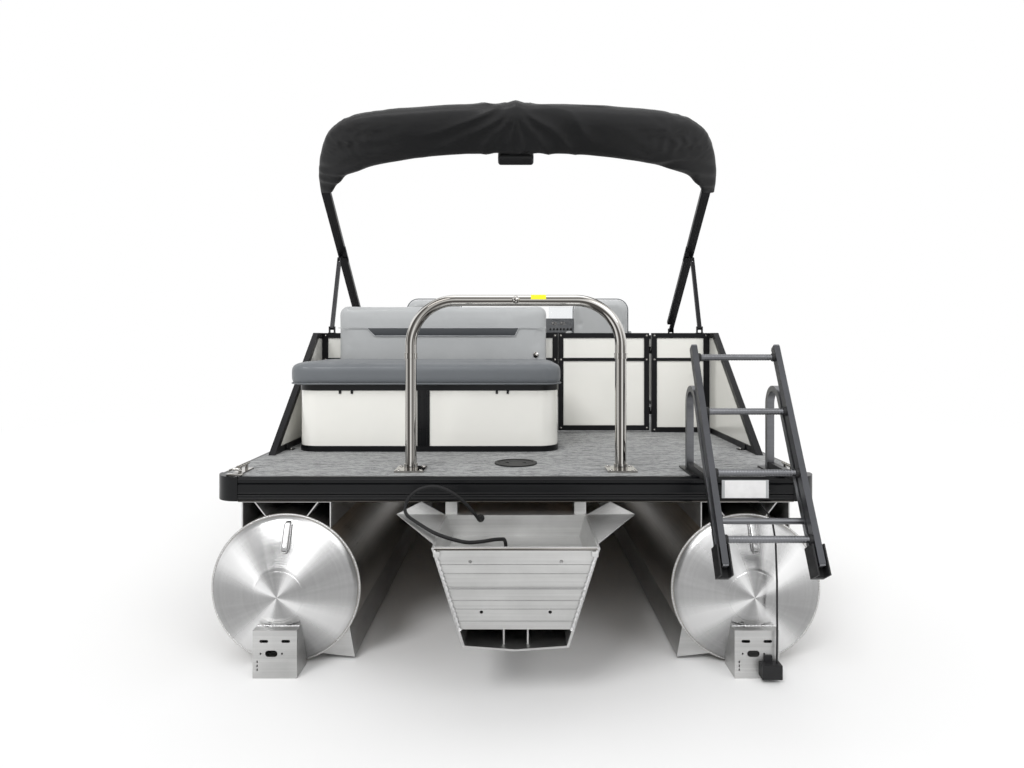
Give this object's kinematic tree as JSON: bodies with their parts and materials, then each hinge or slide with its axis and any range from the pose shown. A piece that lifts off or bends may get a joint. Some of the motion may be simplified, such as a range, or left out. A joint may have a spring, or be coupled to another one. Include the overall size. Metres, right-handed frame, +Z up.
{
  "type": "pontoon boat",
  "caption": "Pontoon boat with two aluminium tubes, a railed deck, lounges, swivel chairs, helm, folding boarding ladder, tow bar and a folded bimini",
  "frame": {"origin": "Middle of the boat's bounding box on the ground plane under the tubes", "axes": "+Y to the bow, +X to starboard, +Z up"},
  "size_m": [2.591, 7.0804, 2.7298],
  "materials": {
    "aluminium": "brushed",
    "stainless": "polished",
    "black": "satin",
    "panel": "gloss",
    "pale_vinyl": "matte",
    "dark_vinyl": "matte",
    "deck_vinyl": "woven",
    "canvas": "woven",
    "plastic": "matte",
    "rubber": "matte",
    "grey_plastic": "matte",
    "tinted": "clear",
    "board": "matte"
  },
  "bodies": {
    "hull": {"port_tube": "aluminium", "starboard_tube": "aluminium", "lifting_strakes": "aluminium", "tube_risers": "aluminium", "crossmembers": "aluminium", "deck": "board", "deck_floor": "deck_vinyl", "rub_rail": "black", "rub_rail_corners": "plastic", "motor_pod": "aluminium", "transom_plate": "aluminium", "splash_wings": "aluminium", "stern_brackets": "aluminium", "transducer": "plastic", "rigging_hose": "rubber", "tow_bar": "stainless", "ladder_brackets": "aluminium", "ladder_upper": "aluminium", "ladder_pivots": "plastic", "port_fence_frame": "black", "port_fence_panels": "panel", "starboard_fence_frame": "black", "starboard_fence_panels": "panel", "stern_fence_frame": "black", "stern_fence_panels": "panel", "bow_fence_frame": "black", "bow_fence_panels": "panel", "stern_seat_base": "panel", "stern_seat_trim": "black", "stern_seat_back": "pale_vinyl", "bow_seat_bases": "panel", "bow_seat_backs": "pale_vinyl", "helm_console": "plastic", "helm_dash": "grey_plastic", "windscreen": "tinted", "throttle": "plastic", "chair_pedestals": "aluminium", "bimini_mounts": "plastic", "deck_plate": "plastic", "cleats": "stainless"},
    "stern_gate": {"stern_gate_frame": "black", "stern_gate_panel": "panel"},
    "bow_gate": {"bow_gate_frame": "black", "bow_gate_panel": "panel"},
    "captain_chair": {"captain_chair": "pale_vinyl"},
    "companion_chair": {"companion_chair": "pale_vinyl"},
    "steering_wheel": {"steering_wheel": "plastic"},
    "ladder_fold": {"ladder_lower": "aluminium"},
    "bimini": {"bimini_frame": "black", "bimini_boot": "canvas", "bimini_light": "plastic"},
    "port_prop": {"port_bimini_prop": "black"},
    "starboard_prop": {"starboard_bimini_prop": "black"},
    "stern_lid": {"stern_seat_cushion": "dark_vinyl"},
    "port_bow_lid": {"port_bow_cushion": "dark_vinyl"},
    "starboard_bow_lid": {"starboard_bow_cushion": "dark_vinyl"}
  },
  "joints": [
    {"name": "stern_gate_hinge", "type": "hinge", "parent": "hull", "child": "stern_gate", "pos_m": [0.8515, -1.56175, 1.1], "axis": [0, 0, -1], "range_deg": [0, 90]},
    {"name": "bow_gate_hinge", "type": "hinge", "parent": "hull", "child": "bow_gate", "pos_m": [0.3715, 3.05025, 1.1], "axis": [0, 0, 1], "range_deg": [0, 90]},
    {"name": "captain_chair_swivel", "type": "hinge", "parent": "hull", "child": "captain_chair", "pos_m": [0.75, 0.42225, 1.16], "axis": [0, 0, 1], "continuous": true},
    {"name": "companion_chair_swivel", "type": "hinge", "parent": "hull", "child": "companion_chair", "pos_m": [-0.72, 0.42225, 1.16], "axis": [0, 0, 1], "continuous": true},
    {"name": "steering_wheel_turn", "type": "hinge", "parent": "hull", "child": "steering_wheel", "pos_m": [0.75, 1.05225, 1.45], "axis": [0, -0.8829, 0.4695], "range_deg": [-540, 540]},
    {"name": "ladder_fold_hinge", "type": "hinge", "parent": "hull", "child": "ladder_fold", "pos_m": [0.96, -3.41593, 0.54487], "axis": [1, 0, 0], "range_deg": [0, 180]},
    {"name": "bimini_swing", "type": "hinge", "parent": "hull", "child": "bimini", "pos_m": [0, -0.48775, 1.447], "axis": [-1, 0, 0], "range_deg": [-30, 0]},
    {"name": "port_prop_swing", "type": "hinge", "parent": "bimini", "child": "port_prop", "pos_m": [-1.225, -1.16047, 1.93515], "axis": [1, 0, 0], "range_deg": [-103, 0]},
    {"name": "starboard_prop_swing", "type": "hinge", "parent": "bimini", "child": "starboard_prop", "pos_m": [1.225, -1.16047, 1.93515], "axis": [1, 0, 0], "range_deg": [-103, 0]},
    {"name": "stern_lid_hinge", "type": "hinge", "parent": "hull", "child": "stern_lid", "pos_m": [-0.461, -1.74475, 1.2473], "axis": [-1, 0, 0], "range_deg": [0, 80]},
    {"name": "port_bow_lid_hinge", "type": "hinge", "parent": "hull", "child": "port_bow_lid", "pos_m": [-1.083, 2.01725, 1.2473], "axis": [0, -1, 0], "range_deg": [0, 80]},
    {"name": "starboard_bow_lid_hinge", "type": "hinge", "parent": "hull", "child": "starboard_bow_lid", "pos_m": [1.083, 2.34725, 1.2473], "axis": [0, 1, 0], "range_deg": [0, 80]}
  ],
  "couplings": [
    {"joint": "port_prop_swing", "follows": "bimini_swing", "ratio": 3.4},
    {"joint": "starboard_prop_swing", "follows": "bimini_swing", "ratio": 3.4}
  ]
}
